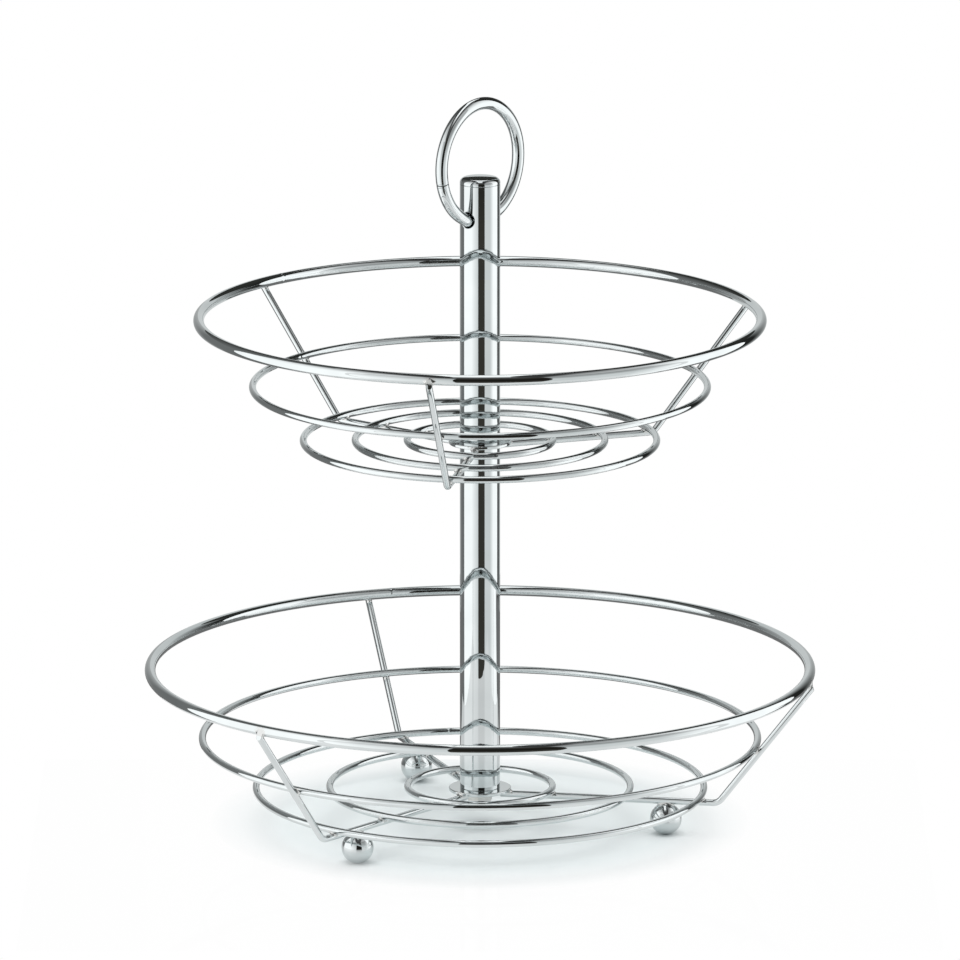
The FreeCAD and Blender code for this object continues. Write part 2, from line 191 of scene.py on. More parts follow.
# Marks in the chrome: how many to a metre, the part of each noise that shows, and heights and depths
CLOUD_SCALE = 38.0
CLOUD_RANGE = (0.35, 0.65)
HAZE_SCALE = 620.0
HAZE_RANGE = (0.35, 0.7)
STREAK_RANGE = (0.4, 0.75)
STREAK_SHARE = 0.5
STREAK_HEIGHT = 0.0003 * MM
PIT_SCALE = 240.0
PIT_RANGE = (0.03, 0.06)
PIT_ROUGHNESS = 0.12
PIT_DEPTH = 0.002 * MM
WAVE_SCALE = 95.0
RIPPLE_SCALE = 330.0


def plated_metal(name, pale, dull, polish, streak_from, wave, ripple=0.0, lean=0.0):
    """Bright plating: a slow change of tint, hazy spots, fine streaks left by drawing or turning, and a soft
    waviness. Lean tips the reflections, as on a piece that leans towards the photograph's view."""
    shader = Shader(name)
    where = shader.add("ShaderNodeTexCoord").outputs["Object"]
    clouds = shader.noise(where, CLOUD_SCALE, 3.0)
    haze = shader.noise(where, HAZE_SCALE, 4.0)
    streaks = shader.noise(streak_from(shader, where), 1.0, 3.0)
    pits = shader.add("ShaderNodeTexVoronoi", {"Vector": where, "Scale": PIT_SCALE}).outputs["Distance"]
    pitted = shader.spread(pits, *PIT_RANGE, 1.0, 0.0)

    colour = shader.mix_colour(shader.spread(clouds, *CLOUD_RANGE, 0.0, 1.0), pale, dull)
    hazy = shader.spread(haze, *HAZE_RANGE, *polish)
    streaked = shader.spread(streaks, *STREAK_RANGE, 0.0, polish[1] * STREAK_SHARE)
    in_pits = shader.math("MULTIPLY", pitted, PIT_ROUGHNESS)
    roughness = shader.math("ADD", shader.math("ADD", hazy, streaked), in_pits)

    normal = shader.bump(shader.noise(where, WAVE_SCALE, 1.0), wave)
    if ripple:
        normal = shader.bump(shader.noise(where, RIPPLE_SCALE, 1.0), ripple, normal)
    normal = shader.bump(pitted, -PIT_DEPTH, normal)
    normal = shader.bump(streaks, STREAK_HEIGHT, normal)
    if lean:
        inputs = {"Vector": normal, "Axis": view_side, "Angle": lean}
        normal = shader.add("ShaderNodeVectorRotate", inputs, rotation_type="AXIS_ANGLE").outputs["Vector"]
    return shader.metal(colour, roughness, normal)


# The space that a finish's streaks run in. Each is a stretch of the place on the piece, in marks to a metre,
# but along a wire the second and third are marks round its section.
WIRE_STREAKS = (40.0, 9.0, 9.0)
POST_STREAKS = (1500.0, 1500.0, 18.0)
LATHE_MARKS = 2600.0
EVEN_GRAIN = (900.0, 900.0, 900.0)


def along_the_wire(shader, _):
    """The wire's own space: slow along its length, quick round its section."""
    place = shader.add("ShaderNodeAttribute", attribute_name="wire_space").outputs["Vector"]
    return shader.stretch(place, WIRE_STREAKS)


def along_the_post(shader, where):
    return shader.stretch(where, POST_STREAKS)


def round_the_axis(shader, where):
    """Rings round the post's axis, as a lathe leaves them."""
    flat = shader.stretch(where, (1.0, 1.0, 0.0))
    radius = shader.add("ShaderNodeVectorMath", {0: flat}, operation="LENGTH").outputs["Value"]
    height = shader.add("ShaderNodeSeparateXYZ", {"Vector": where}).outputs["Z"]
    inputs = {
        "X": shader.math("MULTIPLY", radius, LATHE_MARKS),
        "Y": shader.math("MULTIPLY", height, LATHE_MARKS),
    }
    return shader.add("ShaderNodeCombineXYZ", inputs).outputs["Vector"]


def all_ways(shader, where):
    return shader.stretch(where, EVEN_GRAIN)


ZINC_BLUE = (0.58, 0.61, 0.65, 1)
ZINC_YELLOW = (0.64, 0.62, 0.55, 1)
ZINC_DARK = (0.2, 0.2, 0.21, 1)
ZINC_POLISH = (0.28, 0.46)
CRYSTAL_SCALE = 1400.0
CRYSTAL_RANGE = (0.0, 0.8)
CRYSTAL_SHADES = (0.85, 1.05)
GRAIN_SCALE = 1900.0
GRAIN_RANGE = (0.3, 0.7)
GRAIN_HEIGHT = 0.01 * MM
CAST_SCALE = 130.0


def zinc_plating(name):
    """Satin zinc on the fixings: crystals under a millimetre wide, and a slight blue and yellow cast."""
    shader = Shader(name)
    where = shader.add("ShaderNodeTexCoord").outputs["Object"]
    crystals = shader.add("ShaderNodeTexVoronoi", {"Vector": where, "Scale": CRYSTAL_SCALE})
    grain = shader.noise(where, GRAIN_SCALE, 5.0)
    cast = shader.noise(where, CAST_SCALE, 2.0)
    colour = shader.mix_colour(cast, ZINC_BLUE, ZINC_YELLOW)
    shade = shader.spread(crystals.outputs["Distance"], *CRYSTAL_RANGE, *CRYSTAL_SHADES)
    colour = shader.mix_colour(shader.math("SUBTRACT", 1.0, shade), colour, ZINC_DARK)
    roughness = shader.spread(grain, *GRAIN_RANGE, *ZINC_POLISH)
    return shader.metal(colour, roughness, shader.bump(grain, GRAIN_HEIGHT))


CHROME = {"pale": (0.68, 0.715, 0.72, 1), "dull": (0.62, 0.657, 0.662, 1)}
WELD = {"pale": (0.66, 0.665, 0.655, 1), "dull": (0.55, 0.56, 0.555, 1)}
TUBE = {"polish": (0.008, 0.02), "streak_from": along_the_post, "wave": 0.012 * MM, "ripple": 0.005 * MM}
# The photographed tubes stand a little out of plumb, which lifts the rings' reflections on them.
LOWER_TUBE_LEAN = math.radians(2.45)
UPPER_TUBE_LEAN = math.radians(1.65)

wire_chrome = plated_metal(
    "wire_chrome", **CHROME, polish=(0.012, 0.03), streak_from=along_the_wire, wave=0.02 * MM
)
lower_tube_chrome = plated_metal("lower_tube_chrome", **CHROME, **TUBE, lean=LOWER_TUBE_LEAN)
upper_tube_chrome = plated_metal("upper_tube_chrome", **CHROME, **TUBE, lean=UPPER_TUBE_LEAN)
turned_chrome = plated_metal(
    "turned_chrome", **CHROME, polish=(0.02, 0.05), streak_from=round_the_axis, wave=0.008 * MM
)
ball_chrome = plated_metal(
    "ball_chrome", **CHROME, polish=(0.008, 0.025), streak_from=all_ways, wave=0.006 * MM
)
weld_chrome = plated_metal(
    "weld_chrome", **WELD, polish=(0.04, 0.12), streak_from=all_ways, wave=0.05 * MM
)
zinc = zinc_plating("zinc_plating")


# Mesh helpers

Mesh = namedtuple("Mesh", "points faces")


def joined(parts):
    """One mesh out of several."""
    points, faces = [], []
    for part in parts:
        first = len(points)
        points.extend(part.points)
        faces.extend([[first + corner for corner in face] for face in part.faces])
    return Mesh(points, faces)


def add_piece(name, shape, material, body=STAND, replaces=()):
    mesh = bpy.data.meshes.new(name)
    mesh.from_pydata(shape.points, [], shape.faces)
    mesh.materials.append(material)
    mesh.shade_smooth()
    piece = bpy.data.objects.new(name, mesh)
    bpy.context.scene.collection.objects.link(piece)
    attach(piece, body)
    if replaces:
        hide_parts(*replaces)
    return piece


def set_normals(piece, normal_at):
    """Give the mesh the exact normals of the shape that it follows."""
    normals = [normal_at(vertex.co) for vertex in piece.data.vertices]
    piece.data.normals_split_custom_set_from_vertices(normals)


Station = namedtuple("Station", "point along radius")


def swept(stations, plane_normal, closed):
    """A round wire through stations that lie in one plane, and the space for its finish's streaks."""
    points, space = [], []
    travelled = 0.0
    for number, station in enumerate(stations):
        if number:
            travelled += (station.point - stations[number - 1].point).length
        side = station.along.cross(plane_normal)
        for corner in range(WIRE_SIDES):
            turn = math.tau * corner / WIRE_SIDES
            out = math.cos(turn) * side + math.sin(turn) * plane_normal
            points.append(station.point + station.radius * out)
            space.append((travelled, math.cos(turn), math.sin(turn)))
    faces = []
    count = len(stations)
    for number in range(count if closed else count - 1):
        here, there = number * WIRE_SIDES, (number + 1) % count * WIRE_SIDES
        for corner in range(WIRE_SIDES):
            beside = (corner + 1) % WIRE_SIDES
            faces.append([here + corner, there + corner, there + beside, here + beside])
    if not closed:
        last = (count - 1) * WIRE_SIDES
        faces.append(list(range(WIRE_SIDES)))
        faces.append([last + corner for corner in reversed(range(WIRE_SIDES))])
    return Mesh(points, faces), space


def add_wire(name, stations, plane_normal, closed, body, node, shear=None):
    shape, space = swept(stations, plane_normal, closed)
    if shear:
        shape = Mesh(shear(shape.points), shape.faces)
    piece = add_piece(name, shape, wire_chrome, body, (node,))
    attribute = piece.data.attributes.new("wire_space", "FLOAT_VECTOR", "POINT")
    attribute.data.foreach_set("vector", np.array(space, dtype=np.float32).ravel())
    return piece


def eased_end(tip, along, radius):
    """Stations that round the edge of a cut wire, from its tip inwards. Along points into the wire."""
    stations = []
    for step in range(ARC_STEPS + 1):
        turn = math.pi / 2 * step / ARC_STEPS
        point = tip + CUT_EASE * (1 - math.cos(turn)) * along
        stations.append(Station(point, along, radius - CUT_EASE * (1 - math.sin(turn))))
    return stations


def turned_closed(profile):
    """A closed profile of (radius, height) turned about the post's axis."""
    points, faces = [], []
    count = len(profile)
    for step in range(LATHE_STEPS):
        turn = math.tau * step / LATHE_STEPS
        points.extend(Vector((r * math.cos(turn), r * math.sin(turn), z)) for r, z in profile)
    for step in range(LATHE_STEPS):
        here, there = step * count, (step + 1) % LATHE_STEPS * count
        for number in range(count):
            after = (number + 1) % count
            faces.append([here + number, there + number, there + after, here + after])
    return Mesh(points, faces)


def arc(centre, radius, start, end, steps=ARC_STEPS):
    """Points (radius, height) on an arc, angles in degrees from the outward direction."""
    turns = [math.radians(start + (end - start) * step / steps) for step in range(steps + 1)]
    return [(centre[0] + radius * math.cos(t), centre[1] + radius * math.sin(t)) for t in turns]


Section = namedtuple("Section", "inner outer low high ease")


def eased_section(inner, outer, low, high, ease):
    """The section of a tube, plate or washer with its four edges eased."""
    return (
        arc((outer - ease, low + ease), ease, -90, 0)
        + arc((outer - ease, high - ease), ease, 0, 90)
        + arc((inner + ease, high - ease), ease, 90, 180)
        + arc((inner + ease, low + ease), ease, 180, 270)
    )


def eased_section_normal(inner, outer, low, high, ease):
    """The exact normal of such a section at a point on it."""
    middle_radius, half_wall = (inner + outer) / 2, (outer - inner) / 2
    middle_height, half_height = (low + high) / 2, (high - low) / 2

    def normal_at(point):
        radius = math.hypot(point.x, point.y)
        out = max(abs(radius - middle_radius) - half_wall + ease, 0.0)
        up = max(abs(point.z - middle_height) - half_height + ease, 0.0)
        out = math.copysign(out, radius - middle_radius)
        up = math.copysign(up, point.z - middle_height)
        return Vector((out * point.x / radius, out * point.y / radius, up)).normalized()

    return normal_at


def section_of(node, inner, ease):
    """The section of a tube, plate or washer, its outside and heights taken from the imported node."""
    low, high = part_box(node)
    return Section(inner, high.x, low.z, high.z, ease)


def add_turned_ring(name, node, section, material):
    piece = add_piece(name, turned_closed(eased_section(*section)), material, STAND, (node,))
    set_normals(piece, eased_section_normal(*section))
    return piece


# Wire rings of the baskets

Ring = namedtuple("Ring", "radius wire level")


def ring_of(node):
    """Centre line radius, wire radius and height of a ring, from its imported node."""
    low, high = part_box(node)
    wire = (high.z - low.z) / 2
    return Ring((high.x - low.x) / 2 - wire, wire, (high.z + low.z) / 2)


def handle_ring():
    """The same of the ring handle, which stands in the plane of X and Z."""
    low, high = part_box("ring_handle")
    wire = (high.y - low.y) / 2
    return Ring((high.z - low.z) / 2 - wire, wire, (high.z + low.z) / 2)


def ring_turns(ring, joint_turn):
    """Even steps round a ring, and close ones over the joint where its two ends are welded together."""
    turns = [math.tau * step / RING_STEPS for step in range(RING_STEPS)]
    steps = range(-JOINT_STEPS, JOINT_STEPS + 1)
    close = [joint_turn + step * JOINT_STEP / ring.radius for step in steps]
    span = JOINT_CLEAR / ring.radius
    turns = [t for t in turns if abs((t - joint_turn + math.pi) % math.tau - math.pi) > span]
    return sorted(t % math.tau for t in turns + close)


def add_basket_ring(node, joint_turn):
    ring = ring_of(node)
    stations = []
    for turn in ring_turns(ring, joint_turn):
        out = Vector((math.cos(turn), math.sin(turn), 0))
        away = ((turn - joint_turn + math.pi) % math.tau - math.pi) * ring.radius / JOINT_LENGTH
        radius = ring.wire * (1 + JOINT_SWELL * math.exp(-JOINT_FALL * away * away))
        stations.append(Station(ring.radius * out + ring.level * UP, UP.cross(out), radius))
    add_wire(node + "_wire", stations, UP, True, STAND, node)


for basket in BASKETS:
    for number, kind in enumerate(WALL_RINGS + BASE_RINGS):
        # The joints sit beside the first spoke, one after the other.
        past = math.radians(FIRST_JOINT + NEXT_JOINT * number)
        add_basket_ring("%s_%s" % (basket.name, kind), (basket.turn + past) % math.tau)


# Spokes

class Spoke:
    """One bent spoke: a level run, a bend and a slope up to the rim, in a plane through the post's axis."""

    def __init__(self, basket, number):
        turn = basket.turn + math.tau / SPOKES_PER_BASKET * number
        self.basket = basket
        self.node = "%s_spoke_%d" % (basket.name, number + 1)
        self.out = Vector((math.cos(turn), math.sin(turn), 0))
        self.side = UP.cross(self.out)
        self.slope = basket.slope
        self.run_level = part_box(self.node)[0].z + SPOKE_RADIUS
        self.corner = ring_of(basket.name + "_base_ring_outer").radius + basket.corner_margin
        self.tangent = BEND_RADIUS * math.tan(self.slope / 2)
        self.uphill = math.cos(self.slope) * self.out + math.sin(self.slope) * UP
        self.inward = math.cos(self.slope) * UP - math.sin(self.slope) * self.out
        self.short_side = math.sin(CUT_SKEW) * self.side - math.cos(CUT_SKEW) * self.inward
        self.slope_length = self.reach_of(ring_of(basket.name + "_rim_ring")) + SPOKE_OVERRUN

    def run_point(self, radius):
        return radius * self.out + self.run_level * UP

    def slope_point(self, reach):
        return self.run_point(self.corner) + reach * self.uphill

    def reach_of(self, ring):
        """How far up the slope the spoke meets a ring of the wall."""
        stand = SPOKE_RADIUS + ring.wire - WELD_DEPTH
        return (ring.radius - self.corner + stand * math.sin(self.slope)) / math.cos(self.slope)

    def stations(self):
        inner_end = eased_end(self.run_point(SPOKE_START), self.out, SPOKE_RADIUS)
        outer_end = eased_end(self.slope_point(self.slope_length), -self.uphill, SPOKE_RADIUS)
        bend = []
        centre = self.run_point(self.corner - self.tangent) + BEND_RADIUS * UP
        for step in range(BEND_STEPS + 1):
            turn = self.slope * step / BEND_STEPS
            down = math.sin(turn) * self.out - math.cos(turn) * UP
            along = math.cos(turn) * self.out + math.sin(turn) * UP
            bend.append(Station(centre + BEND_RADIUS * down, along, SPOKE_RADIUS))
        outer_end = [Station(s.point, self.uphill, s.radius) for s in reversed(outer_end)]
        return inner_end + bend + outer_end

    def slant_the_end(self, points):
        """Shear the rounded outer end, which is cut at a slant: its outer side is shorter."""
        rest = len(points) - (ARC_STEPS + 1) * WIRE_SIDES
        slanted = points[:rest]
        for point in points[rest:]:
            across = (point - self.slope_point(0)).dot(self.short_side)
            slanted.append(point - math.tan(CUT_SLANT) * (across + SPOKE_RADIUS) * self.uphill)
        return slanted

    def distance(self, points):
        """Distance of points to the spoke's surface, less than nothing inside it."""
        across = points @ np.array(self.side)
        out = points @ np.array(self.out)
        up = points[:, 2] - self.run_level
        bend_start = self.corner - self.tangent
        turn = np.arctan2(out - bend_start, BEND_RADIUS - up)
        round_bend = BEND_RADIUS - np.hypot(out - bend_start, BEND_RADIUS - up)
        on_slope = up * math.cos(self.slope) - (out - self.corner) * math.sin(self.slope)
        in_plane = np.where(turn <= 0, up, np.where(turn >= self.slope, on_slope, round_bend))
        up_slope = (out - self.corner) * math.cos(self.slope) + up * math.sin(self.slope)
        to_short_side = (points - np.array(self.slope_point(0))) @ np.array(self.short_side)
        past_the_cut = up_slope - self.slope_length + math.tan(CUT_SLANT) * (to_short_side + SPOKE_RADIUS)
        past_an_end = np.maximum(SPOKE_START - out, math.cos(CUT_SLANT) * past_the_cut)
        return np.maximum(np.hypot(in_plane, across) - SPOKE_RADIUS, past_an_end)


spokes = [Spoke(basket, number) for basket in BASKETS for number in range(SPOKES_PER_BASKET)]
for spoke in spokes:
    add_wire(
        spoke.node + "_wire", spoke.stations(), spoke.side, False, STAND, spoke.node, spoke.slant_the_end
    )


# Welds: the skin of a soft union of the spoke and what is welded to it, found along rays from the contact

def ring_distance(ring):
    def distance(points):
        out = np.hypot(points[:, 0], points[:, 1]) - ring.radius
        return np.hypot(out, points[:, 2] - ring.level) - ring.wire

    return distance


def plate_distance(node):
    low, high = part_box(node)

    def distance(points):
        up = np.abs(points[:, 2] - (low.z + high.z) / 2) - (high.z - low.z) / 2
        return np.maximum(up, np.hypot(points[:, 0], points[:, 1]) - high.x)

    return distance


def ball_distance(node):
    low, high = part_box(node)
    radius = (high.x - low.x) / 2
    centre = np.array(((low.x + high.x) / 2, (low.y + high.y) / 2, ball_height(node)))

    def distance(points):
        return np.linalg.norm(points - centre, axis=1) - radius

    return distance


def ball_height(node):
    """Height of a ball's middle: it stands on a small flat, so its box isn't its sphere's."""
    low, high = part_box(node)
    return (high.x - low.x) / 2 - FOOT_FLAT


def weld_skin(contact, first, second):
    """The fillet of one weld. Where it would lie on a wire it dips just under the wire's surface."""

    def field(points):
        one, two = first(points), second(points)
        overlap = np.maximum(WELD_BLEND - np.abs(one - two), 0) / WELD_BLEND
        return np.minimum(one, two) - overlap * overlap * WELD_BLEND / 4 + WELD_INSET

    tilts = np.linspace(0, math.pi, WELD_TILTS)[1:-1]
    turns = np.linspace(0, math.tau, WELD_ROUND, endpoint=False)
    rays = [(0, 0, 1)]
    rays += [
        (math.sin(tilt) * math.cos(turn), math.sin(tilt) * math.sin(turn), math.cos(tilt))
        for tilt in tilts
        for turn in turns
    ]
    rays.append((0, 0, -1))
    rays = np.array(rays)
    inside = np.zeros(len(rays))
    outside = np.full(len(rays), WELD_REACH)
    found = np.zeros(len(rays), dtype=bool)
    for distance in np.linspace(0, WELD_REACH, WELD_MARCH)[1:]:
        left = field(contact + rays * distance) > 0
        outside = np.where(left & ~found, distance, outside)
        found |= left
        inside = np.where(found, inside, distance)
    for _ in range(WELD_HALVINGS):
        middle = (inside + outside) / 2
        left = field(contact + rays * middle[:, None]) > 0
        outside = np.where(left & found, middle, outside)
        inside = np.where(left, inside, middle)
    reach = np.where(found, (inside + outside) / 2, WELD_REACH)
    places = contact + rays * reach[:, None]
    nudges = WELD_NUDGE * np.eye(3)
    normals = np.stack([field(places + nudge) - field(places - nudge) for nudge in nudges], 1)
    normals /= np.linalg.norm(normals, axis=1)[:, None]
    return Mesh([Vector(p) for p in places], sphere_faces(len(tilts), WELD_ROUND)), normals


def sphere_faces(rows, count):
    """Faces of rows of points between two poles."""
    faces = []
    last = rows * count + 1
    for corner in range(count):
        beside = (corner + 1) % count
        faces.append([0, 1 + corner, 1 + beside])
        for row in range(rows - 1):
            here, below = 1 + row * count, 1 + (row + 1) * count
            faces.append([here + corner, below + corner, below + beside, here + beside])
        foot = 1 + (rows - 1) * count
        faces.append([foot + beside, foot + corner, last])
    return faces


def spoke_welds(spoke):
    """Contacts of one spoke, each with the shape that is welded there."""
    lift = SPOKE_RADIUS - WELD_DEPTH / 2
    contacts = []
    for kind in BASE_RINGS:
        ring = ring_of("%s_%s" % (spoke.basket.name, kind))
        contacts.append((spoke.run_point(ring.radius) + lift * UP, ring_distance(ring)))
    for kind in WALL_RINGS:
        ring = ring_of("%s_%s" % (spoke.basket.name, kind))
        contacts.append((spoke.slope_point(spoke.reach_of(ring)) + lift * spoke.inward, ring_distance(ring)))
    plate = "%s_hub_plate" % spoke.basket.name
    under_plate = (SPOKE_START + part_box(plate)[1].x) / 2
    contacts.append((spoke.run_point(under_plate) + lift * UP, plate_distance(plate)))
    if spoke.basket.name == "lower":
        ball = spoke.node.replace("lower_spoke", "foot_ball")
        contacts.append((spoke.run_point(BALL_CIRCLE) - lift * UP, ball_distance(ball)))
    return contacts


for spoke in spokes:
    skins = [weld_skin(np.array(contact), spoke.distance, other) for contact, other in spoke_welds(spoke)]
    welds = add_piece(spoke.node + "_welds", joined([skin for skin, _ in skins]), weld_chrome)
    welds.data.normals_split_custom_set_from_vertices(np.concatenate([normals for _, normals in skins]))


# Ball feet

BALL_ROWS = 40
BALL_ROUND = 64


def add_ball(number):
    node = "foot_ball_%d" % number
    low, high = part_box(node)
    radius = (high.x - low.x) / 2
    centre = Vector(((low.x + high.x) / 2, (low.y + high.y) / 2, ball_height(node)))
    points = [centre + radius * UP]
    for row in range(1, BALL_ROWS):
        tilt = math.pi * row / BALL_ROWS
        for corner in range(BALL_ROUND):
            turn = math.tau * corner / BALL_ROUND
            flat = math.sin(tilt) * Vector((math.cos(turn), math.sin(turn), 0))
            points.append(centre + radius * (flat + math.cos(tilt) * UP))
    points.append(centre - radius * UP)
    # The foot is ground flat where the ball stands.
    points = [Vector((p.x, p.y, max(p.z, low.z))) for p in points]
    shape = Mesh(points, sphere_faces(BALL_ROWS - 1, BALL_ROUND))
    piece = add_piece(node + "_round", shape, ball_chrome, STAND, (node,))
    set_normals(piece, lambda point: (point - centre).normalized() if point.z > low.z else -UP)


for number in range(1, SPOKES_PER_BASKET + 1):
    add_ball(number)


# Post: tubes, hub plates and cap

DRILL_STEPS = 48
# The eased edge of the cross hole: its radius, how far it turns, and how far it is lifted so that it crosses
# the tube's surface
LIP_EASE = 0.55 * MM
LIP_TURN = math.radians(80)
LIP_LIFT = 0.01 * MM
# Two directions count as the same when their product is above this.
SAME_WAY = 0.98


def add_drill(outside, hole_level, hole_radius):
    """A drill along X for the cross hole. It flares where it leaves the tube, and so eases the edges."""
    flare = []
    for step in range(ARC_STEPS + 1):
        turn = LIP_TURN * step / ARC_STEPS
        lift = LIP_EASE * (math.sin(turn) - 1) + LIP_LIFT
        flare.append((hole_radius + LIP_EASE * (1 - math.cos(turn)), lift))
    widest = flare[-1][0]
    flare.append((widest, outside))
    rings = [(-1, *ring) for ring in reversed(flare)] + [(1, *ring) for ring in flare]
    points = []
    for side, radius, lift in rings:
        for step in range(DRILL_STEPS):
            turn = math.tau * step / DRILL_STEPS
            across = radius * math.cos(turn)
            on_tube = math.sqrt(outside * outside - across * across)
            points.append((side * (on_tube + lift), across, hole_level + radius * math.sin(turn)))
    faces = [list(reversed(range(DRILL_STEPS))), list(range(len(points) - DRILL_STEPS, len(points)))]
    for number in range(len(rings) - 1):
        here, there = number * DRILL_STEPS, (number + 1) * DRILL_STEPS
        for step in range(DRILL_STEPS):
            beside = (step + 1) % DRILL_STEPS
            faces.append([here + step, here + beside, there + beside, there + step])
    mesh = bpy.data.meshes.new("drill")
    mesh.from_pydata(points, [], faces)
    drill = bpy.data.objects.new("drill", mesh)
    bpy.context.scene.collection.objects.link(drill)
    return drill


def cut_cross_hole(tube, section):
    """Drill the hole for the ring handle through both walls, and give the walls their exact normals again."""
    hole_level = section.high - HANDLE_DROP
    hole_radius = handle_ring().wire + HANDLE_CLEARANCE
    drill = add_drill(section.outer, hole_level, hole_radius)
    cut = tube.modifiers.new("cross_hole", "BOOLEAN")
    cut.operation = "DIFFERENCE"
    cut.solver = "EXACT"
    cut.object = drill
    bpy.context.view_layer.update()
    evaluated = tube.evaluated_get(bpy.context.evaluated_depsgraph_get())
    drilled = bpy.data.meshes.new_from_object(evaluated)
    tube.modifiers.clear()
    tube.data = drilled
    bpy.data.objects.remove(drill)

    on_section = eased_section_normal(*section)

    def in_hole(point):
        """The normal of the hole's wall, which turns into the tube's own normal over the eased edge."""
        from_axis = Vector((0, point.y, point.z - hole_level))
        inward = (hole_radius + LIP_EASE - from_axis.length) / LIP_EASE
        inward = min(max(inward, 0.0), 1.0)
        out = Vector((point.x, point.y, 0)).normalized()
        return (math.sqrt(1 - inward * inward) * out - inward * from_axis.normalized()).normalized()

    normals = []
    for face in drilled.polygons:
        on_tube = face.normal.dot(on_section(face.center)) > SAME_WAY
        for corner in face.vertices:
            point = drilled.vertices[corner].co
            normals.append(on_section(point) if on_tube else in_hole(point))
    drilled.shade_smooth()
    drilled.normals_split_custom_set(normals)


lower_section = section_of("lower_post_tube", POST_BORE, EDGE_EASE)
upper_section = section_of("upper_post_tube", POST_BORE, EDGE_EASE)
add_turned_ring(
    "lower_post_tube_drawn", "lower_post_tube", lower_section, lower_tube_chrome
)
upper_tube = add_turned_ring(
    "upper_post_tube_drawn", "upper_post_tube", upper_section, upper_tube_chrome
)
cut_cross_hole(upper_tube, upper_section)

for basket in BASKETS:
    plate = basket.name + "_hub_plate"
    plate_section = section_of(plate, PLATE_BORE, PLATE_EASE)
    add_turned_ring(plate + "_pressed", plate, plate_section, turned_chrome)


def turned_solid(profile):
    """A profile from the axis to the axis, turned about the post."""
    top, bottom = profile[0], profile[-1]
    points = [Vector((0, 0, top[1]))]
    for radius, height in profile[1:-1]:
        for step in range(LATHE_STEPS):
            turn = math.tau * step / LATHE_STEPS
            points.append(Vector((radius * math.cos(turn), radius * math.sin(turn), height)))
    points.append(Vector((0, 0, bottom[1])))
    return Mesh(points, sphere_faces(len(profile) - 2, LATHE_STEPS))


DOME_STEPS = 8
SHOULDER_STEPS = 12
CAP_SHARP = math.radians(40)


def add_cap():
    """A low dome with a rounded shoulder, its stem inside the tube."""
    low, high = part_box("top_cap")
    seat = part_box("upper_post_tube")[1].z
    outside = high.x
    dome = (outside * outside + CAP_RISE * CAP_RISE) / (2 * CAP_RISE)
    shoulder = outside - CAP_ROUND
    lean = math.degrees(math.asin(shoulder / (dome - CAP_ROUND)))
    shoulder_height = high.z - dome + (dome - CAP_ROUND) * math.cos(math.radians(lean))
    stem = POST_BORE - PLUG_CLEARANCE
    profile = arc((0, high.z - dome), dome, 90, 90 - lean, DOME_STEPS)
    profile += arc((shoulder, shoulder_height), CAP_ROUND, 90 - lean, 0, SHOULDER_STEPS)[1:]
    profile += arc((outside - EDGE_EASE, seat + EDGE_EASE), EDGE_EASE, 0, -90)
    profile += [(stem, seat), (stem, low.z), (0, low.z)]
    shape = turned_solid(profile)
    piece = add_piece("top_cap_turned", shape, turned_chrome, STAND, ("top_cap",))
    piece.data.set_sharp_from_angle(angle=CAP_SHARP)


add_cap()


# Ring handle

def add_ring_handle():
    """A wire ring whose two cut ends nearly meet at a seam."""
    ring = handle_ring()
    middle = Vector((0, 0, ring.level))
    half_gap = HANDLE_SEAM / 2 / ring.radius
    first, last = HANDLE_SEAM_TURN + half_gap, HANDLE_SEAM_TURN + math.tau - half_gap
    ease_turn = CUT_EASE / ring.radius

    def station(turn, radius):
        out = Vector((math.cos(turn), 0, math.sin(turn)))
        along = Vector((-math.sin(turn), 0, math.cos(turn)))
        return Station(middle + ring.radius * out, along, radius)

    def end_stations(end, way):
        """The rounded edge of an end, from its tip inwards."""
        stations = []
        for step in range(ARC_STEPS):
            turn = math.pi / 2 * step / ARC_STEPS
            here = end + way * ease_turn * (1 - math.cos(turn))
            stations.append(station(here, ring.wire - CUT_EASE * (1 - math.sin(turn))))
        return stations

    stations = end_stations(first, 1)
    for step in range(RING_STEPS + 1):
        here = first + ease_turn + (last - first - 2 * ease_turn) * step / RING_STEPS
        stations.append(station(here, ring.wire))
    stations += reversed(end_stations(last, -1))
    add_wire("ring_handle_wire", stations, Vector((0, 1, 0)), False, CARRYING_RING, "ring_handle")


add_ring_handle()


# Fixings under the lower hub and inside the post

HEAD_SIDE = math.pi / 3
HEAD_STEPS = 72
HEAD_ROWS = 9
HEAD_ROW_HEIGHT = 0.25 * MM
HEAD_SHARP = math.radians(25)
# The corners of the head are turned off from this share of the flats' distance, at this slope.
TURNED_SHARE = 0.95
TURNED_SLOPE = math.radians(30)

head_turns = [math.tau * step / HEAD_STEPS for step in range(HEAD_STEPS)]


def head_row(radii, height):
    """Points round the screw at a height."""
    return [Vector((r * math.cos(t), r * math.sin(t), height)) for r, t in zip(radii, head_turns)]


